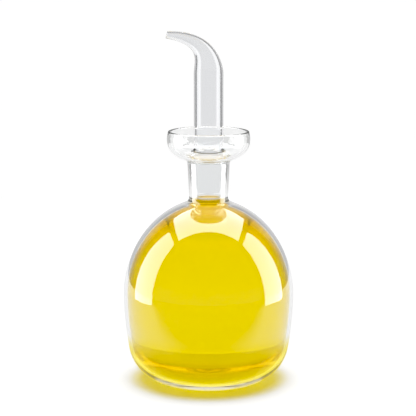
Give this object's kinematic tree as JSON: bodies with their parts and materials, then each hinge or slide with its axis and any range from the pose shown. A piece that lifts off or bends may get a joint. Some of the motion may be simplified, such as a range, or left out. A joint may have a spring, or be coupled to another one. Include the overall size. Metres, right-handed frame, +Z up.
{
  "type": "oil cruet",
  "caption": "Globe-shaped clear glass oil cruet with a drip cup around its neck and a ground-glass stopper drawn out into a bent pouring spout.",
  "frame": {"origin": "centre of the flat resting face, on the bottle's axis", "axes": "+Z up along the bottle's axis, the spout pours towards -X at rest, +Y completes the right-handed frame"},
  "size_m": [0.098, 0.098, 0.2003],
  "materials": {
    "globe_glass": "polished",
    "socket_glass": "polished",
    "cup_glass": "polished",
    "plug_glass": "polished",
    "spout_glass": "polished",
    "oil": "polished"
  },
  "bodies": {
    "bottle": {"globe_body": "globe_glass", "neck_socket": "socket_glass", "drip_cup": "cup_glass", "oil_fill": "oil"},
    "plug": {"stopper_plug": "plug_glass"},
    "spout": {"pouring_spout": "spout_glass"}
  },
  "joints": [
    {"name": "stopper_lift", "type": "slide", "parent": "bottle", "child": "plug", "axis": [0, 0, 1], "range_m": [0, 0.045]},
    {"name": "spout_turn", "type": "hinge", "parent": "plug", "child": "spout", "pos_m": [0, 0, 0.1321], "axis": [0, 0, 1], "continuous": true}
  ]
}
